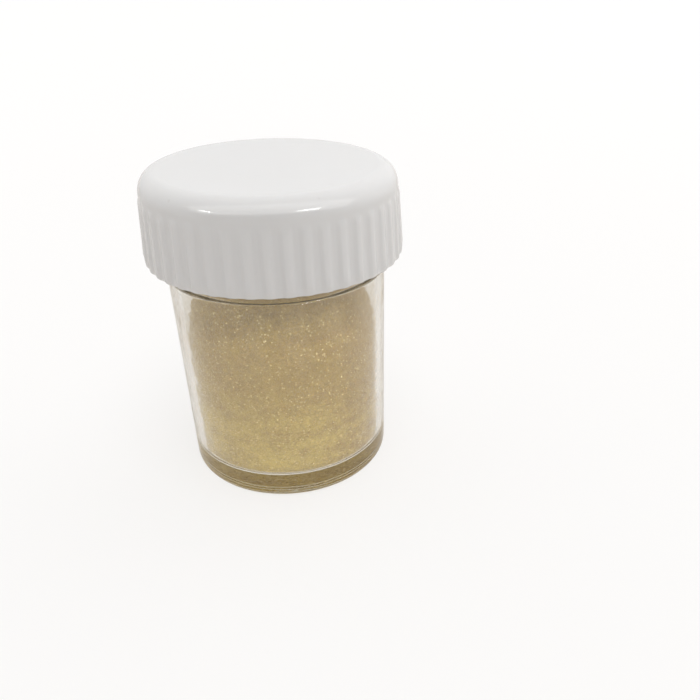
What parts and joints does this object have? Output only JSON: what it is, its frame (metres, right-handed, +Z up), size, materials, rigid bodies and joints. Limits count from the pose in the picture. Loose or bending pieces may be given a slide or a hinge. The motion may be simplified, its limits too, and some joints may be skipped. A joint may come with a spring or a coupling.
{
  "type": "sample vial",
  "caption": "Small straight-sided clear vial of gold powder, closed by a ribbed white screw cap with a sealing liner.",
  "frame": {"origin": "centre of the foot, on the surface the vial stands on", "axes": "+Z up along the axis of the jar and the cap; +X points at the middle of one grip rib; the thread is right-handed about +Z"},
  "size_m": [0.0302, 0.0302, 0.0378],
  "materials": {
    "clear_plastic": "clear glossy moulded polystyrene",
    "white_plastic": "glossy moulded white plastic",
    "liner_foam": "matt closed-cell foam",
    "gold_powder": "fine packed powder with metallic sparkle"
  },
  "bodies": {
    "jar": {"jar": "clear_plastic", "gold_powder": "gold_powder"},
    "liner": {"cap_liner": "liner_foam"},
    "cap": {"cap": "white_plastic"}
  },
  "joints": [
    {"name": "cap_lift", "type": "slide", "parent": "jar", "child": "liner", "axis": [0, 0, 1], "range_m": [0, 0.0085]},
    {"name": "cap_turn", "type": "hinge", "parent": "liner", "child": "cap", "pos_m": [0, 0, 0.0354], "axis": [0, 0, 1], "range_deg": [0, 720]}
  ],
  "couplings": [
    {"joint": "cap_lift", "follows": "cap_turn", "m_per_rad": 0.0006737}
  ]
}
